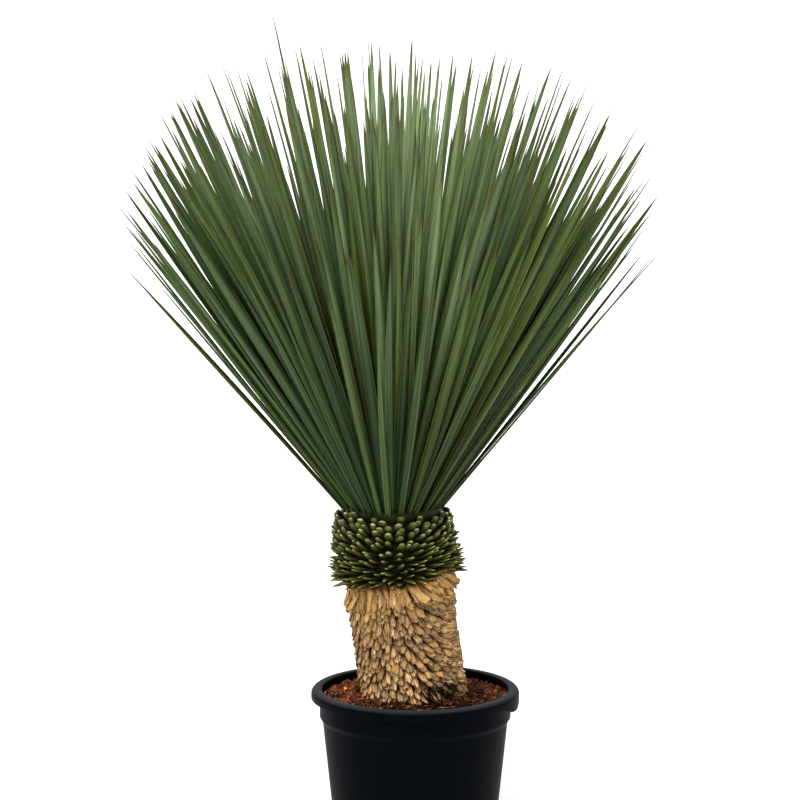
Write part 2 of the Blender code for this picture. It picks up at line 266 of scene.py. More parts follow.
# %% [markdown]
# ## The trunk's own coordinates
# Everything on the trunk is worked out as if the trunk stood upright, by an angle round it, a
# height and a distance from its axis. One function then leans the result: the axis moves to the
# left as it rises and the rows of leaf bases tilt with it. The numbers are those of the solids, so
# the finer surfaces lie where the solids are.

# %% Trunk measures and the lean
GROUND = 0.2245
TAN_TOP = 0.3725
GREEN_TOP = 0.4655
BAND_SHOULDER = 0.4625
TRUNK_FOOT = 0.150
LEAN_START = -0.0017
LEAN = -0.0400
LEAN_BOW = 0.0123
ROW_TILT = 0.125
BASE_RADIUS = 0.0682
NECK_RADIUS = 0.0655
BAND_RADIUS = 0.0715
CORE_SUNK = 0.003
CORE_RINGS = 12
CORE_SIDES = 48
GAP = 0.0003
GOLDEN_ANGLE = math.pi * (3 - math.sqrt(5))


def trunk_axis(height):
    """The axis in X: start + lean t + bow t^2, with t from 0 at the ground to 1 at the leaves."""
    t = (height - GROUND) / (GREEN_TOP - GROUND)
    return LEAN_START + LEAN * t + LEAN_BOW * t * t


def skin_radius(height):
    """The surface that the leaf bases stand on.

    It narrows up the tan part, runs smoothly from the neck to the band over 16 mm round the
    boundary, and rounds inwards by 0.9 mm a millimetre above the shoulder, where the leaves begin.
    """
    low = BASE_RADIUS + (NECK_RADIUS - BASE_RADIUS) * unit((height - GROUND) / (TAN_TOP - GROUND))
    t = unit((height - TAN_TOP + 0.002) / 0.016)
    band = low + (BAND_RADIUS - low) * t * t * (3 - 2 * t)
    return band - 0.9 * np.maximum(height - BAND_SHOULDER, 0.0)


def leaned(azimuth, height, radius):
    """Points of the leaning trunk: x gains the axis, z gains ROW_TILT sin(pi t) times upright x."""
    x = radius * np.cos(azimuth)
    t = unit((height - GROUND) / (GREEN_TOP - GROUND))
    lifted = height + ROW_TILT * np.sin(math.pi * t) * x
    return np.stack([x + trunk_axis(height), radius * np.sin(azimuth), lifted], axis=-1)


def with_core(points, sides, uv, tones, low, high, core_uv, core_tone):
    """Join leaf bases and the core between two heights: points, faces, uv and tone of them all."""
    height = np.linspace(low, high, CORE_RINGS)[:, None]
    core = leaned(circle(CORE_SIDES)[None], height, skin_radius(height) - CORE_SUNK).reshape(-1, 3)
    faces = tube_faces(core[None], CORE_SIDES) + points.size // 3
    return (np.concatenate([points.reshape(-1, 3), core]),
            np.concatenate([tube_faces(points, sides), faces]),
            np.concatenate([uv, np.full((len(core), 2), core_uv)]),
            np.concatenate([tones, np.tile(core_tone, (len(core), 1))]))


shift = trunk_axis(GREEN_TOP) - trunk_axis(GROUND)
print("the axis moves", round(1000 * shift, 1), "mm to the left")

# %% [markdown]
# ## The pot: injection-moulded black polypropylene
# A nursery pot is moulded in one thin wall: a rolled rim with a hanging skirt, a shoulder band and
# a tapered side. A turned profile makes it, because the real mould was turned too, with fine steps
# so that its curves show no corners. On one side the skirt drops into a small lug for lifting.

# %% Pot profile
RIM_RADIUS = 0.140
RIM_BORE = 0.125
POT_HEIGHT = 0.230
FOOT_RADIUS = 0.105
WALL = 0.0022
POT_FLOOR = 0.0035
RIM_ROUND = 0.007
RIM_LIP = 0.003
SKIRT_LOW = POT_HEIGHT - 0.0135
SHOULDER_RADIUS = 0.1285
SHOULDER_LOW = POT_HEIGHT - 0.0390
SHOULDER_ROUND = 0.0012
WALL_TOP_RADIUS = SHOULDER_RADIUS - 0.0042
WALL_TOP = SHOULDER_LOW - 0.008
FOOT_ROUND = 0.005
FOOT_CORNER = 0.004
LUG_DROP = 0.0095
LUG_ANGLE = math.radians(-16)
LUG_HALF_ANGLE = math.radians(15)
POT_STEPS = 256


def arc(radius, height, size, start, end, count):
    """Points of a round in a profile: centre (radius, height) plus size times (cos a, sin a)."""
    angle = np.radians(np.linspace(start, end, count))
    return np.stack([radius + size * np.cos(angle), height + size * np.sin(angle)], axis=-1)


def line(start, end, count):
    """Evenly spaced points of a straight run, without its last point."""
    share = np.arange(count)[:, None] / count
    return np.array(start) + (np.array(end) - np.array(start)) * share


def wall_at(height, inward=0.0):
    """The point of the tapered wall's outside at a height, or a little inward of it."""
    slope = (WALL_TOP_RADIUS - FOOT_RADIUS) * height / WALL_TOP
    return FOOT_RADIUS + slope - inward, height


def turned(profile, steps):
    """A closed profile of (radius, height) from axis to axis, turned about Z.

    Point (i, j) is (r_i cos a_j, r_i sin a_j, z_i). The two ends on the axis are single points
    that fans of triangles close. Returns points, triangles and quads.
    """
    body = profile[1:-1]
    ring = np.stack([np.cos(circle(steps)), np.sin(circle(steps))], axis=-1)
    flat = body[:, None, :1] * ring[None]
    high = np.broadcast_to(body[:, None, 1:], (len(body), steps, 1))
    points = np.concatenate([flat, high], axis=-1).reshape(-1, 3)
    poles = np.array([[0.0, 0.0, profile[0, 1]], [0.0, 0.0, profile[-1, 1]]])
    j, k = np.arange(steps), (np.arange(steps) + 1) % steps
    last = (len(body) - 1) * steps
    first_pole = np.full(steps, len(points))
    start = np.stack([first_pole, k, j], axis=-1)
    end = np.stack([first_pole + 1, last + j, last + k], axis=-1)
    quads = ring_quads(len(body), steps)
    return np.concatenate([points, poles]), np.concatenate([start, end]), quads


def pot_profile():
    """The pot's section, from the middle of its floor up the inside, over the rim and down."""
    lip_low = POT_HEIGHT - RIM_LIP
    under = lip_low - WALL / 2
    bead = WALL / 2
    corner = POT_FLOOR + FOOT_ROUND
    inside = wall_at(corner)[0] - WALL
    return np.concatenate([
        line((0.0, POT_FLOOR), (wall_at(POT_FLOOR)[0] - WALL - FOOT_ROUND, POT_FLOOR), 4),
        arc(inside - FOOT_ROUND, corner, FOOT_ROUND, 270, 360, 6),
        line((inside, corner), (WALL_TOP_RADIUS - WALL, WALL_TOP), 10)[1:],
        line((WALL_TOP_RADIUS - WALL, WALL_TOP), (RIM_BORE, SHOULDER_LOW), 3),
        line((RIM_BORE, SHOULDER_LOW), (RIM_BORE, lip_low), 5),
        arc(RIM_BORE + RIM_LIP, lip_low, RIM_LIP, 180, 90, 8),
        arc(RIM_RADIUS - RIM_ROUND, POT_HEIGHT - RIM_ROUND, RIM_ROUND, 90, 0, 14),
        arc(RIM_RADIUS - bead, SKIRT_LOW + bead, bead, 0, -180, 9),
        [(RIM_RADIUS - WALL, POT_HEIGHT - RIM_ROUND), (RIM_RADIUS - RIM_ROUND, under),
         (SHOULDER_RADIUS, under)],
        line((SHOULDER_RADIUS, under - 0.0006), (SHOULDER_RADIUS, SHOULDER_LOW + 0.0012), 5),
        arc(SHOULDER_RADIUS - SHOULDER_ROUND, SHOULDER_LOW + 0.0008, SHOULDER_ROUND, 0, -50, 5),
        arc(WALL_TOP_RADIUS + 0.003, WALL_TOP + 0.0005, 0.003, 150, 180, 4),
        line(wall_at(WALL_TOP - 0.003), wall_at(FOOT_ROUND), 12),
        arc(wall_at(FOOT_ROUND)[0] - FOOT_CORNER, FOOT_ROUND, FOOT_CORNER, 0, -70, 6),
        [(FOOT_RADIUS - FOOT_CORNER, 0.0), (FOOT_RADIUS * 0.5, 0.0), (0.0, 0.0)]])


def with_lug(points):
    """Lower the skirt's edge near the lug: its height falls by LUG_DROP (1 - (a / half)^2)."""
    radius = np.hypot(points[:, 0], points[:, 1])
    angle = np.arctan2(points[:, 1], points[:, 0]) - LUG_ANGLE
    near = unit(1 - (angle / LUG_HALF_ANGLE) ** 2)
    skirt = (radius > RIM_RADIUS - 1.2 * WALL) & (points[:, 2] < SKIRT_LOW + 1.2 * WALL)
    skirt &= points[:, 2] > SHOULDER_LOW
    low = points.copy()
    low[:, 2] -= np.where(skirt, LUG_DROP * near, 0.0)
    return low


print("the pot's profile has", len(pot_profile()), "points")

# %% Pot material
# Black polypropylene, injection moulded: a deep blue-black that scatters a soft grey gloss from its
# fine spark-eroded grain, with a painted highlight in soft patches on the rim's upward faces.
plastic = new_material("black_polypropylene_moulded", {"IOR": 1.49, "Specular IOR Level": 0.02})
place = add(plastic, "TexCoord").outputs["Object"]
# The mould's grain is about 0.3 mm, drawn at 0.8 mm so that it shows.
grain = add(plastic, "TexNoise", {"Scale": 1200.0, "Detail": 2.0}, place)
pot_mottle = add(plastic, "TexNoise", {"Scale": 55.0, "Detail": 6.0, "Roughness": 0.7}, place)
lie = add(plastic, "NewGeometry").outputs["Normal"]
upward = add(plastic, "SeparateXYZ", {}, lie).outputs["Z"]
# The rim's upward faces are painted a lighter grey, in soft patches of the mottle: a painted
# highlight.
facing = add(plastic, "MapRange", {}, upward, 0.45, 1.0)
patches = add(plastic, "MapRange", {}, pot_mottle, 0.20, 0.80, 0.55, 1.0)
painted_rim_highlight = add(plastic, "Math", TIMES, facing, patches)
body = add(plastic, "ValToRGB", {"stops": [(0.3, "#010204"), (0.7, "#020509")]}, pot_mottle)
colour = add(plastic, "Mix", COLOURS, painted_rim_highlight, body, "#2f3437")
gloss = add(plastic, "MapRange", {}, pot_mottle, 0.0, 1.0, 0.42, 0.58)
relief = add(plastic, "Bump", {"Strength": 0.12, "Distance": 0.0004}, grain)
surface(plastic, {"Base Color": colour, "Roughness": gloss, "Normal": relief})

# %% Pot piece
pot_points, *pot_faces = turned(pot_profile(), POT_STEPS)
pot_volume = sum(volumes(pot_points[None], block)[0] for block in pot_faces)
if pot_volume < 0:
    pot_faces = [block[:, ::-1] for block in pot_faces]
print("pot wall holds", round(abs(pot_volume) * 1e6, 1), "cm3 of plastic")
mesh_piece("pot_shell", with_lug(pot_points), pot_faces, plastic, ("pot",))

# %% [markdown]
# ## The soil: coir
# Coir is shredded coconut husk: a reddish-brown bed of crumbs, pale chips and short wiry fibres.
# A bumpy sheet alone would look painted where the light grazes it. So the bed is a disc whose
# height is a sum of waves, and thousands of real lumps and strands lie on it. Each lump is a
# twelve-cornered ball squeezed at random.

# %% Soil surface
SOIL_EDGE = 0.2175
SOIL_HEAP = 0.0055
SOIL_RADIUS = RIM_BORE - GAP


def soil_height(x, y):
    """The solids' soil level, with finer waves: a heap near the trunk plus sines in x and y."""
    heap = unit((0.115 - np.hypot(x, y)) / 0.035)
    grit = np.sin(310 * x + 1.3) * np.sin(290 * y + 0.4) + np.sin(170 * x - 230 * y) * 0.6
    fine = np.sin(910 * x + 700 * y) * np.sin(830 * y - 540 * x + 2.0)
    return SOIL_EDGE + SOIL_HEAP * heap * heap * (3 - 2 * heap) + 0.0011 * grit + 0.0006 * fine


print("the soil's edge stands", round(1000 * (POT_HEIGHT - SOIL_EDGE), 1), "mm below the rim")

# %% Coir material
# Coir, milled and dampened: matt, rough fibres whose colour runs from near black to red brown, with
# a few dry straw-coloured flecks.
coir = new_material("coir_compost", {"Roughness": 0.95, "Specular IOR Level": 0.05})
place = add(coir, "TexCoord").outputs["Object"]
clods = add(coir, "TexNoise", {"Scale": 130.0, "Detail": 5.0, "Roughness": 0.65}, place)
earth = add(coir, "ValToRGB",
            {"stops": [(0.30, "#1a0d06"), (0.46, "#482615"), (0.60, "#6c4029"), (0.78, "#a07858")]},
            clods)
shade = add(coir, "Attribute", {"attribute_name": "tone"})
tinted = add(coir, "Mix", TINT, 1.0, earth, shade)
# Crumbs are 1 to 3 mm, so the bump's grain is 2 mm.
lumps = add(coir, "TexNoise", {"Scale": 500.0, "Detail": 4.0}, place)
relief = add(coir, "Bump", {"Strength": 0.8, "Distance": 0.0015}, lumps)
surface(coir, {"Base Color": tinted, "Normal": relief})

# %% Soil bed
BED_STEPS = 240
WET_COLOUR = np.array([0.16, 0.18, 0.21])


def soil_tone(x, y, spread):
    """Colours that multiply the coir: spread times a share that is less in front, more on the left.

    On the right of the trunk's foot the soil is wet and sooty, in an oval that fades outwards.
    """
    wet = unit(1.25 - np.hypot((x - 0.078) / 0.030, (y + 0.022) / 0.050))[:, None]
    dry = 0.95 + 0.55 * unit(-x / 0.10) - 0.80 * unit((-y - 0.040) / 0.045)
    dry = dry + 0.30 * np.sin(70 * x + 40 * y) * np.sin(60 * y - 55 * x + 1)
    dry = np.maximum(dry, 0.12)[:, None]
    brown = np.ones(3) * dry * (1 - wet) + WET_COLOUR * wet
    return np.concatenate([brown * spread[:, None], np.ones((len(x), 1))], axis=-1)


bed_profile = np.concatenate([
    [(0.0, SOIL_EDGE)], line((0.055, SOIL_EDGE), (SOIL_RADIUS, SOIL_EDGE), 44),
    [(SOIL_RADIUS, SOIL_EDGE), (SOIL_RADIUS, SHOULDER_LOW),
     (WALL_TOP_RADIUS - WALL - GAP, WALL_TOP), (FOOT_RADIUS - WALL - GAP, POT_FLOOR + 0.006),
     (FOOT_RADIUS - 0.008, POT_FLOOR + GAP), (0.0, POT_FLOOR + GAP)]])
bed_points, *bed_faces = turned(bed_profile, BED_STEPS)
on_top = bed_points[:, 2] > SOIL_EDGE - GAP
bed_points[on_top, 2] = soil_height(*bed_points[on_top, :2].T)
bed_tone = soil_tone(*bed_points[:, :2].T, np.full(len(bed_points), 0.75))
mesh_piece("coir_bed", bed_points, bed_faces, coir, ("soil",), tone=bed_tone)

# %% Crumbs
CRUMB_COUNT = 3600
PALE_CHIP = np.array([2.1, 2.7, 3.0])


def ball():
    """The twelve corners and twenty faces of an icosahedron of radius one."""
    g = (1 + math.sqrt(5)) / 2
    corners = [(-1, g, 0), (1, g, 0), (-1, -g, 0), (1, -g, 0), (0, -1, g), (0, 1, g),
               (0, -1, -g), (0, 1, -g), (g, 0, -1), (g, 0, 1), (-g, 0, -1), (-g, 0, 1)]
    faces = [(0, 11, 5), (0, 5, 1), (0, 1, 7), (0, 7, 10), (0, 10, 11), (1, 5, 9), (5, 11, 4),
             (11, 10, 2), (10, 7, 6), (7, 1, 8), (3, 9, 4), (3, 4, 2), (3, 2, 6), (3, 6, 8),
             (3, 8, 9), (4, 9, 5), (2, 4, 11), (6, 2, 10), (8, 6, 7), (9, 8, 1)]
    return np.array(corners) / math.hypot(1, g), np.array(faces)


def seeded(seed, count):
    """A seeded generator, and a function that draws count even numbers between two limits."""
    rng = np.random.default_rng(seed)
    return rng, lambda low=0.0, high=1.0: rng.uniform(low, high, count)


def on_the_bed(draw, inner, outer):
    """Seeded places on the soil ring, even by area: r = sqrt of a share between radii squared."""
    radius = np.sqrt(draw(inner ** 2, outer ** 2))
    angle = draw(0, 2 * math.pi)
    x, y = radius * np.cos(angle), radius * np.sin(angle)
    return x, y, soil_height(x, y)


def crumbs():
    """Lumps p = place + size * stretch * (corner + jitter), half sunk in the bed."""
    rng, draw = seeded(31, CRUMB_COUNT)
    corners, faces = ball()
    x, y, level = on_the_bed(draw, 0.064, 0.1232)
    size = 0.0009 + 0.0026 * draw() ** 2.2
    stretch = rng.uniform(0.55, 1.45, (CRUMB_COUNT, 1, 3))
    shape = corners[None] + rng.uniform(-0.28, 0.28, (CRUMB_COUNT, 12, 3))
    centre = np.stack([x, y, level + 0.35 * size], axis=-1)
    points = centre[:, None] + size[:, None, None] * stretch * shape
    flat = points.reshape(-1, 3)
    tone = soil_tone(*flat[:, :2].T, np.repeat(0.28 + 1.9 * draw() ** 1.4, 12))
    pale = np.repeat(draw() < 0.08, 12)
    tone[pale, :3] = tone[pale, :3] * PALE_CHIP
    return flat, facing_out(points, faces), tone


crumb_points, crumb_faces, crumb_tone = crumbs()
mesh_piece("coir_crumbs", crumb_points, [crumb_faces], coir, tone=crumb_tone,
           smooth=False)

# %% [markdown]
# ## Strands
# Coir fibres and old straw are thin bent wires. Hair could draw them, but closed tubes can be
# exported as they are. A strand is a short tube along a path that starts in the soil, runs a little
# way over it and bends, and hundreds of them share one set of faces.

# %% Strand maker
STRAND_STATIONS = 6
STRAND_SIDES = 4
STRAND_SAG = 0.45


def strands(draw, start, heading, climb, length, bend, radius):
    """Tubes along bent paths, shape (count, stations * sides, 3).

    Each has its own heading, and the last four are limits to draw between. At share t the path is
    start + length t (cos h, sin h) flat + length (climb t - sag t^2) up, with h = heading + bend t,
    and the ring round it shrinks towards the tip.
    """
    t = np.linspace(0, 1, STRAND_STATIONS)[None, :, None]
    drawn = [draw(*limits) for limits in (climb, length, bend, radius)]
    heading, climb, length, bend, radius = per_copy(heading, *drawn)
    turn = heading + bend * t
    flat = length * t * np.concatenate([np.cos(turn), np.sin(turn)], axis=-1)
    up = length * (climb * t - STRAND_SAG * np.abs(climb) * t * t)
    path = start[:, None] + np.concatenate([flat, up], axis=-1)
    ahead = np.gradient(path, axis=1)
    ahead /= np.linalg.norm(ahead, axis=-1, keepdims=True)
    level = np.cross(ahead, [0.0, 0.0, 1.0])
    level /= np.linalg.norm(level, axis=-1, keepdims=True) + 1e-9
    over = np.cross(level, ahead)
    angle = circle(STRAND_SIDES)[None, None, :, None]
    ring = level[:, :, None] * np.cos(angle) + over[:, :, None] * np.sin(angle)
    thick = (radius * (1 - 0.6 * t))[:, :, None]
    return (path[:, :, None] + thick * ring).reshape(len(start), -1, 3)


def one_colour(shade, colour, points):
    """A tone for every point of the strands: each strand's own shade times one colour."""
    shade = np.repeat(shade, points.shape[1])[:, None]
    return np.concatenate([shade * np.array(colour), np.ones_like(shade)], axis=-1)


def strand_piece(name, points, tone):
    """A piece of many strands in the colours of coir."""
    faces = tube_faces(points, STRAND_SIDES)
    mesh_piece(name, points.reshape(-1, 3), [faces], coir, tone=tone)


# %% Fibres on the soil
FIBRE_COUNT = 420

rng, draw = seeded(32, FIBRE_COUNT)
fibre_start = np.stack(on_the_bed(draw, 0.066, 0.118), axis=-1) + [0.0, 0.0, 0.0004]
fibre_points = strands(draw, fibre_start, draw(0, 2 * math.pi), (0.02, 0.55), (0.003, 0.012),
                       (-1.4, 1.4), (0.00018, 0.00042))
fibre_reach = np.hypot(fibre_points[..., 0], fibre_points[..., 1]).max(axis=1)
fibre_points = fibre_points[fibre_reach < RIM_BORE - 0.001]
fibre_spread = np.repeat(rng.uniform(0.7, 3.2, len(fibre_points)), fibre_points.shape[1])
fibre_tone = soil_tone(*fibre_points.reshape(-1, 3)[:, :2].T, fibre_spread)
strand_piece("coir_fibres", fibre_points, fibre_tone)

# %% Straw on the soil
STRAW_COUNT = 46

rng, draw = seeded(33, STRAW_COUNT)
straw_angle = np.radians(draw(-125, -5))
straw_from = draw(0.080, 0.104)
straw_x, straw_y = straw_from * np.cos(straw_angle), straw_from * np.sin(straw_angle)
straw_start = np.stack([straw_x, straw_y, soil_height(straw_x, straw_y) + 0.0022], axis=-1)
straw_points = strands(draw, straw_start, draw(0, 2 * math.pi), (0.05, 0.35), (0.005, 0.015),
                       (-0.6, 0.6), (0.0004, 0.0009))
straw_tone = one_colour(draw(1.5, 4.5), [1.0, 1.25, 1.3], straw_points)
strand_piece("fallen_straw", straw_points, straw_tone)

# %% [markdown]
# ## The dry trunk: shingles of old leaf bases
# Each leaf that dries away leaves a tan tongue about 9 mm wide that hangs over the ones below it.
# They climb the trunk in spirals: each is turned by the golden angle from the last, which packs
# them evenly, as the growing tip did. On the right of the trunk they swing sideways. A tongue is
# worked out on the unrolled trunk, as a distance along and across it, and is then wrapped round.

# %% Tongue shape
SCALE_COUNT = 760
SCALE_HALF_WIDTH = 0.0046
SWEEP_FRONT = math.radians(12)
SWEEP_RIGHT = math.radians(66)
SWEEP_LEFT = math.radians(24)
TAN_EDGE = 0.3795
TONGUE_ALONG = np.array([0.0, 0.30, 0.48, 0.62, 0.74, 0.84, 0.91, 0.96, 1.0])
TONGUE_ACROSS = np.array([-1.0, -0.58, 0.0, 0.58, 1.0, 0.58, 0.0, -0.58])
TONGUE_OUTER = np.array([0, 1, 1, 1, 0, 0, 0, 0])
TONGUE_ROOT = 0.0035
TONGUE_BACK = 0.0010
TONGUE_BELLY = 0.0009
TONGUE_TEAR = 0.0026


def spread_heights(lowest, highest, count, fuller=1.12):
    """Heights that rise step by step between two limits, with a fuller row at either end."""
    share = fuller * ((np.arange(count) + 0.5) / count - 0.5) + 0.5
    return lowest + (highest - lowest) * unit(share)


def tongue_width(v):
    """Half width along a tongue: 1, then a blunt end, (1 - s^2.4)^0.5 with s from 0.86."""
    s = unit((v - 0.86) / 0.14)
    return np.sqrt(np.clip(1 - s ** 2.4, 0.20, 1.0))


def scale_sweep(azimuth):
    """How far a tongue turns sideways from hanging down: front, plus right c on the right side.

    c is the cosine of the azimuth, from -1 on the left to 1 on the right, and on the left the
    tongues turn the other way by left |c|.
    """
    c = np.cos(azimuth)
    return SWEEP_FRONT + SWEEP_RIGHT * unit(c) ** 0.8 + SWEEP_LEFT * np.minimum(c, 0.0)


def tongues(rng, *measures):
    """Closed tongues wrapped on the trunk, shape (count, stations * sides, 3).

    The measures of each are its azimuth, height, length, half width, sweep, how proud its tip is,
    skew, bend and cup. A point s along and q across lies at azimuth + (s sin f + q cos f) / R and
    height - s cos f + q sin f, with f the sweep. It stands off the core by a root depth that climbs
    to proud at the tip, plus a rounded back of 1 - u^2 and edges that cup in or out.
    """
    azimuth, height, length, half, sweep, proud, skew, bend, cupped = per_copy(*measures)
    v = TONGUE_ALONG[None, :, None]
    u = TONGUE_ACROSS[None, None, :]
    ragged = rng.uniform(-1, 1, (len(azimuth), len(TONGUE_ALONG), len(TONGUE_ACROSS)))
    q = half * tongue_width(v) * u * (1 + 0.20 * ragged) + bend * v ** 2
    s = length * (v - 0.45) + skew * q * v ** 2 + TONGUE_TEAR * ragged * v ** 4
    back = np.where(TONGUE_OUTER > 0, TONGUE_BACK * (1 - u ** 2) * (1 - 0.4 * v), 0.0)
    belly = np.where(TONGUE_OUTER > 0, 0.0, -TONGUE_BELLY * (1 - u ** 2))
    climb = -TONGUE_ROOT + (proud + TONGUE_ROOT) * v ** 1.4
    off = climb + back + belly + cupped * (u ** 2 - 0.4) * v + 0.0006 * ragged * v
    up = height - s * np.cos(sweep) + q * np.sin(sweep)
    radius = skin_radius(up)
    around = azimuth + (s * np.sin(sweep) + q * np.cos(sweep)) / radius
    return leaned(around, up, radius + off).reshape(len(azimuth), -1, 3)


def tone_of(red, green, blue):
    """One tone for each copy: red and blue from 0 to 1, green its lightness."""
    return np.stack([unit(red), green, blue, np.ones(len(red))], axis=-1)


def surface_values(along, across, tone):
    """The uv and tone of every point: across from 0 to 1, along from 0 to 1, and a tone each."""
    u = np.broadcast_to(across * 0.5 + 0.5, (len(tone), len(along), len(across)))
    v = np.broadcast_to(along[None, :, None], u.shape)
    uv = np.stack([u, v], axis=-1).reshape(-1, 2)
    return uv, np.repeat(tone, len(along) * len(across), axis=0)


# %% Lengthwise grain
def grained(material, lines_across, lines_along, spread):
    """The shares across and along a copy, the parts of its tone, and a place in a long grain.

    The place is (across * lines_across, along * lines_along, own number * spread). A noise there
    runs in lines along the copy, and no two copies have the same.
    """
    sheet = add(material, "UVMap", {"uv_map": "surface"})
    spot = add(material, "SeparateXYZ", {}, sheet)
    mark = add(material, "Attribute", {"attribute_name": "tone"})
    parts = add(material, "SeparateColor", {}, mark)
    across, along, own = spot.outputs["X"], spot.outputs["Y"], parts.outputs["Blue"]
    scaled = [add(material, "Math", TIMES, source, factor)
              for source, factor in ((across, lines_across), (along, lines_along), (own, spread))]
    return across, along, parts.outputs, add(material, "CombineXYZ", {}, *scaled)


# %% Dry leaf base material
# Dead yucca leaf, sun dried: matt straw with fine lengthwise fibres, darker and browner in the
# shade of the next row, golden where it dried last, and smoked black low on the right.
straw = new_material("dried_yucca_leaf", {"Roughness": 0.85, "Specular IOR Level": 0.10})
across, along, parts, laid = grained(straw, 9.0, 1.6, 90.0)
# Fibres are about 0.3 mm apart on a 9 mm tongue. They are drawn at 0.7 mm so that they show.
fibres = add(straw, "TexNoise", {"Scale": 1.4, "Detail": 5.0, "Roughness": 0.62}, laid)
base = add(straw, "ValToRGB",
           {"stops": [(0.26, "#46290f"), (0.43, "#7d5b35"), (0.56, "#ab875a"), (0.72, "#ead3ae")]},
           fibres)
gold = add(straw, "Mix", COLOURS, parts["Red"], base, "#b98f48")
root = add(straw, "ValToRGB", {"stops": [(0.12, "#20180f"), (0.40, "#857058"), (0.72, "#ffffff")]},
           along)
middle = add(straw, "Math", {"operation": "SUBTRACT"}, across, 0.5)
edge = add(straw, "Math", {"operation": "ABSOLUTE"}, middle)
# Each tongue is darker towards its side edges: painted shade in the furrows between the tongues.
painted_furrow_shade = add(straw, "MapRange", {}, edge, 0.26, 0.50, 1.0, 0.50)
sided = add(straw, "Math", TIMES, painted_furrow_shade, parts["Green"])
lit = add(straw, "Mix", TINT, 1.0, root, sided)
shadowed = add(straw, "Mix", TINT, 1.0, gold, lit)
place = add(straw, "TexCoord").outputs["Object"]
# Dried skin flakes off in patches of 2 to 3 mm.
flakes = add(straw, "TexNoise", {"Scale": 420.0, "Detail": 4.0, "Roughness": 0.7}, place)
flaked = add(straw, "MapRange", {}, flakes, 0.35, 0.65, 0.68, 1.25)
worn = add(straw, "Mix", TINT, 1.0, shadowed, flaked)
rough = add(straw, "Math", {"operation": "ADD"}, flakes, fibres)
relief = add(straw, "Bump", {"Strength": 0.9, "Distance": 0.0012}, rough)
surface(straw, {"Base Color": worn, "Normal": relief})


# %% Dry trunk
def soot(points):
    """How sooty a place is, from 0 to 1: low on the trunk's right front, close to the soil."""
    x, y, z = np.moveaxis(points, -1, 0)
    patch = 1.5 - np.hypot((x - 0.037) / 0.016, (z - 0.246 + 0.5 * (x - 0.037)) / 0.012)
    return unit(patch) * (y < 0.01)


def dry_trunk():
    """The core and its tongues in one mesh, with a uv and a tone for each point."""
    rng, draw = seeded(41, SCALE_COUNT)
    azimuth = np.arange(SCALE_COUNT) * GOLDEN_ANGLE + draw(-0.05, 0.05)
    height = spread_heights(GROUND + 0.006, TAN_EDGE, SCALE_COUNT)
    high = unit((height - GROUND) / (TAN_TOP - GROUND))
    left, right = unit(-np.cos(azimuth)), unit(np.cos(azimuth))
    length = 0.0232 + 0.0100 * high ** 3 + 0.0085 * left + 0.0050 * right
    length = length * draw(0.85, 1.2)
    half = SCALE_HALF_WIDTH * (1 + 0.15 * high - 0.14 * left - 0.06 * right) * draw(0.78, 1.15)
    calm = 0.55 + 0.45 * unit(high / 0.25) - 0.15 * high ** 3
    sweep = scale_sweep(azimuth) * calm + draw(-0.20, 0.20)
    proud = 0.0030 + 0.0036 * (1 - 0.5 * left - 0.3 * right) * draw()
    proud = proud + 0.0055 * (1 - left - 0.6 * right) * draw() ** 7 + 0.0070 * high ** 8 * draw()
    skew, bend, cupped = draw(-0.6, 0.6), draw(-0.0022, 0.0022), draw(-0.0010, 0.0014)
    points = tongues(rng, azimuth, height, length, half, sweep, proud, skew, bend, cupped)
    golden = np.clip(high * 4.0 - 3.2, 0, 0.5) * draw(0.1, 1.0)
    # Besides a random share, the lightness holds painted light: the lowest tongues are lifted up to
    # 1.62 times against the shade of the pot and the crown. The soot below is real.
    light = draw(0.62, 1.38) * (1.62 - 0.55 * unit(high * 2.0) + 0.03 * unit(high * 4 - 3))
    light = light * (1 - 0.97 * unit(soot(points.mean(axis=1)) * np.where(draw() < 0.6, 1.3, 0.25)))
    uv, tones = surface_values(TONGUE_ALONG, TONGUE_ACROSS, tone_of(golden, light, draw()))
    # The top tongues are painted lighter through their middle: painted light that lifts the painted
    # root shade, since no row hangs above them.
    painted_top_light = 1 + 0.8 * (high ** 10)[:, None] * unit(1 - np.abs(TONGUE_ALONG - 0.45) / 0.3)[None]
    tones[:, 1] = tones[:, 1] * np.repeat(painted_top_light.ravel(), len(TONGUE_ACROSS))
    # The core's lightness of 0.14 makes it nearly black: painted shade in the gaps between the
    # tongues.
    return with_core(points, len(TONGUE_ACROSS), uv, tones, TRUNK_FOOT, TAN_TOP, 0.35,
                     [0.0, 0.14, 0.5, 1.0])


trunk_points, trunk_faces, trunk_uv, trunk_tone = dry_trunk()
mesh_piece("dry_trunk", trunk_points, [trunk_faces], straw, ("trunk",),
           uv=trunk_uv, tone=trunk_tone)

# %% [markdown]
# ## Torn tufts and scorched fibres
# Just under the green band a few broad tongues have come loose and curl outwards. They are torn,
# golden brown, and hide the edge between the two parts. The same tongue function makes them, longer
# and wider and standing out more, in three groups. At the foot on the right the bases are burnt
# down to black fibres, and these are strands that hang over the soil.

# %% Golden tufts under the band
TUFTS = (10, 5, 3)
TUFT_COUNT = sum(TUFTS)
TUFT_ANGLES = np.radians(np.repeat([-31, -66, -158], TUFTS))
TUFT_SPREAD = np.radians(np.repeat([20, 9, 10], TUFTS))
TUFT_HEIGHT = np.repeat([0.3800, 0.3740, 0.3700], TUFTS)

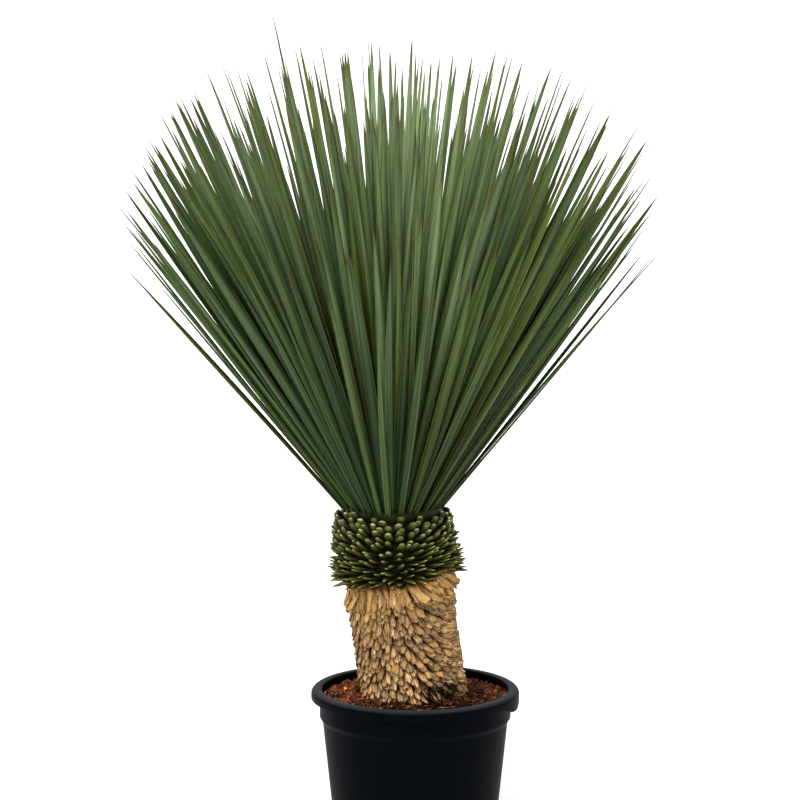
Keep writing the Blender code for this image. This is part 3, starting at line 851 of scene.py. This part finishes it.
rng, draw = seeded(43, TUFT_COUNT)
tuft_points = tongues(
    rng, TUFT_ANGLES + TUFT_SPREAD * draw(-1, 1), TUFT_HEIGHT + draw(-0.0035, 0.0035),
    draw(0.026, 0.036), draw(0.0050, 0.0078), draw(-0.15, 0.75), draw(0.010, 0.018),
    draw(-0.6, 0.6), draw(-0.003, 0.003), draw(-0.001, 0.002))
# Their shares along start at 0.52, so that no part takes the painted root shade of a tongue.
tuft_uv, tuft_tones = surface_values(0.52 + 0.48 * TONGUE_ALONG, TONGUE_ACROSS,
                                     tone_of(draw(0.2, 0.6), draw(1.1, 1.7), draw()))
tuft_faces = tube_faces(tuft_points, len(TONGUE_ACROSS))
mesh_piece("golden_tufts", tuft_points.reshape(-1, 3), [tuft_faces], straw,
           uv=tuft_uv, tone=tuft_tones)

# %% Scorched fibres at the foot
CHAR_COUNT = 70

rng, draw = seeded(42, CHAR_COUNT)
char_angle = np.radians(draw(-78, -40))
char_height = draw(GROUND + 0.005, GROUND + 0.026)
char_start = leaned(char_angle, char_height, skin_radius(char_height) + draw(0.002, 0.0065))
char_points = strands(draw, char_start, np.radians(draw(-55, -12)), (-1.1, -0.4), (0.006, 0.014),
                      (-0.3, 0.3), (0.0004, 0.0009))
char_tone = one_colour(draw(0.04, 0.30), [0.7, 0.85, 1.0], char_points)
strand_piece("scorched_fibres", char_points, char_tone)

# %% [markdown]
# ## The green band: leaf bases cut back
# Above the tan part the leaves were trimmed while green. The lowest stumps are thin spikes that
# stand straight out, and the highest are plump knobs that point up, each with a pale cut face. They
# follow the same golden-angle spiral. A stump is a tube along a path that curves upwards, because
# one formula can then run from spike to knob.

# %% Stump shape
STUMP_COUNT = 500
BARE_ANGLE = math.radians(-31)
STUMP_ALONG = np.array([0.0, 0.38, 0.60, 0.78, 0.90, 0.97, 1.0])
STUMP_SIDES = 10


def stumps(rng, *measures):
    """Closed stumps on the leaning trunk, shape (count, stations * sides, 3).

    The measures of each are its azimuth, height, rise, reach, half width and thickness, taper and
    bend aside. The path leaves the core at the angle rise above level, bends up by rise * 0.35 more
    and bends aside as v^1.3. Its rings are ovals that shrink as 1 - taper v^1.7, close in a round
    and are ragged by a tenth.
    """
    azimuth, height, rise, reach, half_width, half_thick, taper, aside = per_copy(*measures)
    ragged = rng.uniform(-1, 1, (len(azimuth), len(STUMP_ALONG), STUMP_SIDES))
    v = STUMP_ALONG[None, :, None]
    angle = circle(STUMP_SIDES)[None, None, :]
    tilt = rise * (1 + 0.35 * v)
    run = reach * (v * 1.6 - 0.6)
    dome = np.sqrt(np.clip(1 - (unit(v - 0.80) / 0.215) ** 2, 0.05, 1.0))
    size = (1 - taper * v ** 1.7) * (0.35 + 0.65 * dome) * (1 + 0.12 * ragged)
    side = half_width * size * np.cos(angle) + aside * v ** 1.3
    thick = half_thick * size * np.sin(angle)
    radius = skin_radius(height) + run * np.cos(tilt) - thick * np.sin(tilt)
    up = height + run * np.sin(tilt) + thick * np.cos(tilt)
    return leaned(azimuth + side / radius, up, radius).reshape(len(azimuth), -1, 3)


# %% Green leaf base material
# Living yucca leaf base, cut with shears: smooth dark olive skin with a faint waxy gloss, near
# black towards the root with painted shade where the stumps overlap, lighter and yellower towards
# the cut, and a dry cream-coloured pith where it was cut.
rind = new_material("living_leaf_base", {"Specular IOR Level": 0.06})
across, along, parts, laid = grained(rind, 14.0, 2.0, 60.0)
place = add(rind, "TexCoord").outputs["Object"]
mottle = add(rind, "TexNoise", {"Scale": 260.0, "Detail": 4.0, "Roughness": 0.6}, place)
shift = add(rind, "Math", {"operation": "MULTIPLY_ADD"}, mottle, 0.09, -0.045)
step = add(rind, "Math", {"operation": "ADD"}, along, shift)
# Both ramps run from near black at the root, painted shade where the stumps overlap, to a lighter,
# yellower olive at the cut.
skin = add(rind, "ValToRGB",
           {"stops": [(0.48, "#161b07"), (0.72, "#22290b"), (0.88, "#373d17"), (0.97, "#55572a")]},
           step)
dry = add(rind, "ValToRGB",
          {"stops": [(0.48, "#1d1407"), (0.72, "#35270f"), (0.88, "#56431d"), (0.97, "#77623a")]},
          step)
mixed = add(rind, "Mix", COLOURS, parts["Red"], skin, dry)
cloudy = add(rind, "MapRange", {}, mottle, 0.3, 0.7, 0.7, 1.25)
# Veins run along the stump 0.5 mm apart. They are drawn at about 2 mm so that they show, and their
# light streaks are partly a painted highlight.
veins = add(rind, "TexNoise", {"Scale": 1.2, "Detail": 3.0}, laid)
veins_and_highlight = add(rind, "MapRange", {}, veins, 0.3, 0.7, 0.35, 1.7)
patchy = add(rind, "Math", TIMES, cloudy, veins_and_highlight)
lit = add(rind, "Math", TIMES, patchy, parts["Green"])
toned = add(rind, "Mix", TINT, 1.0, mixed, lit)
# The dry cut shows as a pale crescent on the upper edge of the end, more on some stumps.
lie = add(rind, "NewGeometry").outputs["Normal"]
upward = add(rind, "SeparateXYZ", {}, lie).outputs["Z"]
crest = add(rind, "MapRange", {}, upward, 0.50, 0.78)
cut = add(rind, "MapRange", {}, step, 0.94, 0.975)
crescent = add(rind, "Math", TIMES, crest, cut)
some = add(rind, "MapRange", {}, parts["Blue"], 0.15, 0.9, 0.05, 0.95)
pale = add(rind, "Math", TIMES, crescent, some)
ended = add(rind, "Mix", COLOURS, pale, toned, "#ddd5b4")
gloss = add(rind, "MapRange", {}, along, 0.9, 0.96, 0.45, 0.85)
relief = add(rind, "Bump", {"Strength": 0.3, "Distance": 0.0006}, mottle)
surface(rind, {"Base Color": ended, "Roughness": gloss, "Normal": relief})


# %% Green band
def green_band():
    """The band's core and its stumps in one mesh, with a uv and a tone for each point."""
    rng, draw = seeded(51, STUMP_COUNT)
    index = np.arange(STUMP_COUNT)
    azimuth = index * GOLDEN_ANGLE + draw(-0.07, 0.07)
    high = ((index + 0.5) / STUMP_COUNT) ** 1.3
    height = TAN_EDGE + 0.005 + (GREEN_TOP + 0.004 - TAN_EDGE - 0.005) * high
    height = height + draw(-0.0022, 0.0022)
    # The lowest stumps stand 14 mm higher at one place, where the golden tufts are.
    from_bare = (azimuth - BARE_ANGLE + math.pi) % (2 * math.pi) - math.pi
    height = height + 0.014 * np.exp(-(from_bare / 0.30) ** 2) * unit(1 - 3 * high)
    rise = np.radians(-6 + 50 * high ** 0.8 + (12 - 4 * high) * draw(-1, 1))
    reach = (0.0205 - 0.0100 * high) * (1 + (0.32 - 0.22 * high) * draw(-1, 0.8))
    half_width = (0.0080 - 0.0014 * high) * draw(0.80, 1.15)
    half_thick = (0.0026 + 0.0014 * high) * draw(0.80, 1.15)
    taper = 0.88 - 0.72 * high ** 1.2
    wave = np.sin(2 * azimuth)
    comb = -np.sign(wave) * np.abs(wave) ** 0.7
    aside = (1 - 0.7 * high) * draw(-0.007, 0.007) + 0.016 * comb * (1 - high) ** 0.6
    points = stumps(rng, azimuth, height, rise, reach, half_width, half_thick, taper, aside)
    brown = unit(draw() * 2.5 - 2.0) * 0.9 + unit(0.35 - high)
    # The lightness holds painted light as well as a random share: the lowest stumps are lifted 1.75
    # times, the highest 0.9 times.
    tone = tone_of(brown, draw(0.70, 1.30) * (1.75 - 0.85 * high), draw())
    uv, tones = surface_values(STUMP_ALONG, np.linspace(-1, 1, STUMP_SIDES), tone)
    # The core takes the ramps' near-black root colour, painted shade between the stumps.
    return with_core(points, STUMP_SIDES, uv, tones, TAN_TOP + GAP, GREEN_TOP + 0.003, 0.55,
                     [0.2, 1.1, 0.5, 1.0])


band_points, band_faces, band_uv, band_tone = green_band()
mesh_piece("green_band", band_points, [band_faces], rind, ("green_leaf_bases",),
           uv=band_uv, tone=band_tone)

# %% [markdown]
# ## The crown: hundreds of stiff leaves
# All the leaves point away from one place low in the trunk, like the needles of a pincushion. Their
# directions are spread evenly over a cap of a sphere, again by the golden angle, and the outermost
# are shorter. Copies of one modelled leaf would all look alike, so each leaf has draws of its own.
# It is a long blade with a shallow channel on its inner face and a keel outside: eight points round
# it, carried along its path, full in width for half its length and then drawn out to a brown spine.

# %% Leaf directions
FAN_CENTRE = 0.400
FAN_TILT = math.radians(-0.7)
DOME_RADIUS = 0.104
DOME_ANGLE = math.radians(40)
FAN_ANGLE = math.radians(41)
LEAF_REACH = 0.708
LEAF_SHORTENING = 0.172
SHORTENING_FROM = math.radians(22)
LEAF_SUNK = 0.010
LEAF_BEND = 0.014
# Two leaves are placed one by one: azimuth, angle from upright, reach, share of width and of light.
SPEAR = (math.radians(200), math.radians(12.6), 0.762, 0.6, 0.8)
DARK_LEAF = (math.radians(-85), math.radians(35.5), 0.636, 1.35, 0.20)


def leaf_paths(seed, count, start, shorter, widest):
    """Azimuth, angle from upright, reach and three more draws of each leaf.

    The angle a of leaf i of n has cos a = 1 - share (1 - cos widest), which spreads them evenly.
    """
    draws = np.random.default_rng(seed).uniform(-1.0, 1.0, (count, 6))
    azimuth = start + np.arange(count) * GOLDEN_ANGLE + 0.03 * draws[:, 0]
    share = (np.arange(count) + 0.5) / count
    angle = np.arccos(1 - share * (1 - math.cos(widest))) + 0.012 * draws[:, 1]
    late = np.clip((angle - SHORTENING_FROM) / (FAN_ANGLE - SHORTENING_FROM), 0.0, 1.1)
    reach = (LEAF_REACH - LEAF_SHORTENING * late ** 2) * (0.972 + 0.028 * draws[:, 2]) * shorter
    return azimuth, angle, reach, draws[:, 3:]


# %% Leaf shape
LEAF_ALONG = np.array([0, 0.05, 0.12, 0.22, 0.34, 0.46, 0.57, 0.67, 0.76, 0.84, 0.91, 0.96, 1.0])
LEAF_ACROSS = np.array([-1.0, -0.5, -0.1, 0.1, 0.5, 1.0, 0.12, -0.12])
LEAF_OUTER = np.array([0, 0, 0, 0, 0, 0, 1, 1])
LEAF_HALF = 0.0073
LEAF_THICK = 0.0016


def leaf_width(v):
    """Share of the half width: 0.70 to 1 until 0.35, 1 - 0.86 s^1.9 after 0.52, then a point."""
    s = unit((v - 0.52) / 0.48)
    point = 1 - 0.8 * unit((v - 0.96) / 0.04)
    return (0.70 + 0.30 * unit(v / 0.35)) * (1 - 0.86 * s ** 1.9) * point


def leaves(azimuth, angle, reach, draws, half, rng):
    """Closed blades, shape (count, stations * sides, 3).

    At share v the spine is centre + along (root + (reach - root) v) + bends v^2. The blade turns
    about its spine by turn + twist v. Across it, the inner face sinks as a channel, fold |u|, and
    the outer face bulges as thick (1 - u^2).
    """
    count = len(azimuth)
    centre = np.array([trunk_axis(GREEN_TOP), 0.0, FAN_CENTRE])
    upright = np.array([math.sin(FAN_TILT), 0.0, math.cos(FAN_TILT)])
    level = np.array([math.cos(FAN_TILT), 0.0, -math.sin(FAN_TILT)])
    back = np.array([0.0, 1.0, 0.0])
    radial = level * np.cos(azimuth)[:, None] + back * np.sin(azimuth)[:, None]
    side = np.cross(upright, radial)
    along = radial * np.sin(angle)[:, None] + upright * np.cos(angle)[:, None]
    outer = np.cross(side, along)
    v = LEAF_ALONG[None, :, None]
    reach, half, lean, bow, sway = per_copy(reach, half, *draws.T)
    root = DOME_RADIUS - LEAF_SUNK
    spine = centre + along[:, None] * (root + (reach - root) * v)
    spine = spine + outer[:, None] * (LEAF_BEND * bow * v ** 2)
    spine = spine + side[:, None] * (LEAF_BEND * sway * v ** 2)
    turn = 0.5 * lean + rng.uniform(-1.2, 1.2, (count, 1, 1)) * v
    across = side[:, None] * np.cos(turn) + outer[:, None] * np.sin(turn)
    keel = np.cross(across, along[:, None])
    u = LEAF_ACROSS[None, None, :, None]
    wide = (half * leaf_width(v))[:, :, None]
    fold = rng.uniform(0.15, 0.50, (count, 1, 1, 1))
    thick = LEAF_THICK * (0.35 + 0.65 * leaf_width(v)) * (1 + 0.8 * unit(1 - 5 * v))
    bulge = LEAF_OUTER[None, None, :, None] * thick[:, :, None] * (1 - u ** 2)
    lift = -fold * wide * np.abs(u) + bulge
    points = spine[:, :, None] + across[:, :, None] * wide * u + keel[:, :, None] * lift
    return points.reshape(count, -1, 3)


# %% Leaf material
# Living yucca leaf: a tough, waxy blade. The wax bloom turns the green bluish and spreads the
# gloss, fine parallel veins streak it, its margins are a thin pale yellow line, and its tip is a
# brown spine. Here and there a brown streak runs along a dried part.
blade = new_material("waxy_yucca_leaf", {"Specular IOR Level": 0.08})
# Veins are about 0.5 mm apart on a 15 mm blade. They are drawn at 0.7 mm so that they show.
across, along, parts, laid = grained(blade, 22.0, 3.0, 70.0)
veins = add(blade, "TexNoise", {"Scale": 1.0, "Detail": 4.0, "Roughness": 0.7}, laid)
green = add(blade, "ValToRGB",
            {"stops": [(0.0, "#2c4122"), (0.15, "#34451d"), (0.50, "#43531c"), (0.80, "#576424"),
                       (1.0, "#737c2b")]},
            parts["Red"])
# Where the painted light is strongest, the leaves are painted grey green: a painted sheen standing
# in for the gloss of the wax bloom.
painted_sheen_share = add(blade, "MapRange", {}, parts["Green"], 1.0, 2.4, 0.0, 0.85)
with_painted_sheen = add(blade, "Mix", COLOURS, painted_sheen_share, green, "#47533c")
streak = add(blade, "MapRange", {}, veins, 0.30, 0.70, 0.34, 1.62)
lit = add(blade, "Math", TIMES, streak, parts["Green"])
lined = add(blade, "Mix", TINT, 1.0, with_painted_sheen, lit)
middle = add(blade, "Math", {"operation": "SUBTRACT"}, across, 0.5)
edge = add(blade, "Math", {"operation": "ABSOLUTE"}, middle)
margin = add(blade, "MapRange", {}, edge, 0.40, 0.48, 0.0, 0.6)
hemmed = add(blade, "Mix", COLOURS, margin, lined, "#8f9a63")
spined = add(blade, "MapRange", {}, along, 0.93, 1.0)
tipped = add(blade, "Mix", COLOURS, spined, hemmed, "#4c3a1c")
scorch = add(blade, "TexNoise", {"Scale": 2.1, "Detail": 2.0}, laid)
burnt = add(blade, "MapRange", {}, scorch, 0.65, 0.74, 0.0, 0.75)
streaked = add(blade, "Mix", COLOURS, burnt, tipped, "#3d2f17")
gloss = add(blade, "MapRange", {}, veins, 0.0, 1.0, 0.40, 0.62)
relief = add(blade, "Bump", {"Strength": 0.35, "Distance": 0.0005}, veins)
surface(blade, {"Base Color": streaked, "Roughness": gloss, "Normal": relief})


# %% Crown
OLD_LEAVES = 306
YOUNG_LEAVES = 170
YOUNG_ANGLE = math.radians(34.5)
TOP_GLOW = 2.9
ROOT_SHADE = 0.75


def leaf_tones(sideways, angle, rng):
    """A tone for each leaf: red is its yellowness, green its lightness and blue its own number.

    Young, upright leaves are yellower, and the leaves on the right are darker, in painted shade.
    """
    count = len(angle)
    yellow = 0.62 - 0.55 * angle / FAN_ANGLE + 0.10 * sideways + rng.normal(0, 0.23, count)
    light = 1.0 - 0.14 * unit(sideways) + rng.normal(0, 0.18, count)
    return tone_of(yellow, np.clip(light, 0.55, 1.5), rng.random(count))


def leaf_glow(sideways, angle):
    """Light along each leaf, shape (count, stations): brighter near the tip, darker at the root.

    The glow rises from share 0.37 to 0.87 and fades again at the tip. It is strongest on upright
    leaves just right of the middle, and the roots are darkest there. On the right the lower half
    of each leaf is in shade.
    """
    v = LEAF_ALONG[None]
    upright = np.clip(1.15 - angle / FAN_ANGLE, 0.1, 1.0)
    upright = upright * (1 - 0.55 * unit(2.5 * sideways - 0.6) - 0.25 * unit(-sideways))
    upright = upright * (0.9 + 0.7 * np.exp(-((sideways - 0.13) / 0.16) ** 2))
    rising = unit((v - 0.37) / 0.50) * (1 - 0.62 * unit((v - 0.70) / 0.26))
    inner = unit(1.1 - angle / FAN_ANGLE)[:, None]
    glow = 1 + TOP_GLOW * upright[:, None] * rising
    glow = glow * (1 - ROOT_SHADE * inner * unit(1 - v / 0.45))
    return glow * (1 - 0.30 * unit(2.2 * sideways)[:, None] * unit(2 - v / 0.32))


def crown(name, seed, count, start, shorter, widest, slimmer, first, replaced):
    """One spiral of leaves as a piece; the outermost are slimmer, most of all at the sides.

    first sets apart the first leaf: its azimuth, angle, reach, share of width and share of light.
    """
    rng, draw = seeded(seed + 60, count)
    azimuth, angle, reach, draws = leaf_paths(seed, count, start, shorter, widest)
    azimuth[0], angle[0], reach[0] = first[:3]
    half = LEAF_HALF * slimmer * draw(0.80, 1.10)
    outermost = unit((angle / FAN_ANGLE - 0.78) / 0.22)
    half = half * (1 - outermost * (0.20 + 0.40 * unit(2 * np.abs(np.cos(azimuth)) - 0.8)))
    half[0] *= first[3]
    points = leaves(azimuth, angle, reach, draws, half, rng)
    sideways = np.cos(azimuth) * np.sin(angle) / math.sin(FAN_ANGLE)
    tone = leaf_tones(sideways, angle, rng)
    tone[0, 1] = first[4]
    uv, tones = surface_values(LEAF_ALONG, LEAF_ACROSS, tone)
    tones[:, 1] = tones[:, 1] * np.repeat(leaf_glow(sideways, angle).ravel(), len(LEAF_ACROSS))
    faces = tube_faces(points, len(LEAF_ACROSS))
    mesh_piece(name, points.reshape(-1, 3), [faces], blade, replaced, uv, tones)


crown("leaf_fan", 7, OLD_LEAVES, 0.0, 1.0, FAN_ANGLE, 1.0, SPEAR, ("leaf_crown",))
crown("young_leaves", 8, YOUNG_LEAVES, 1.1, 0.90, YOUNG_ANGLE, 0.92, DARK_LEAF, ())

# %% [markdown]
# The leaves stand on a low dome of packed leaf feet, which shows only as darkness between them. It
# is a turned cap with the leaf material, because nothing of its shape can be seen.

# %% Heart of the crown
HEART_STEPS = 64

heart_profile = np.concatenate([
    arc(0.0, FAN_CENTRE, DOME_RADIUS, 90, 90 - math.degrees(DOME_ANGLE), 14),
    [(DOME_RADIUS * math.sin(DOME_ANGLE) - 0.003, GREEN_TOP + GAP), (0.0, GREEN_TOP + GAP)]])
heart_points, *heart_faces = turned(heart_profile, HEART_STEPS)
heart_points[:, 0] += trunk_axis(GREEN_TOP)
# Its lightness of 0.25 is painted shade, so the dome shows only as darkness between the leaves.
heart_tone = np.tile([0.4, 0.25, 0.5, 1.0], (len(heart_points), 1))
heart_uv = np.stack([heart_points[:, 0] * 5 + 0.5, np.full(len(heart_points), 0.1)], axis=-1)
mesh_piece("crown_heart", heart_points, [block[:, ::-1] for block in heart_faces], blade,
           uv=heart_uv, tone=heart_tone)
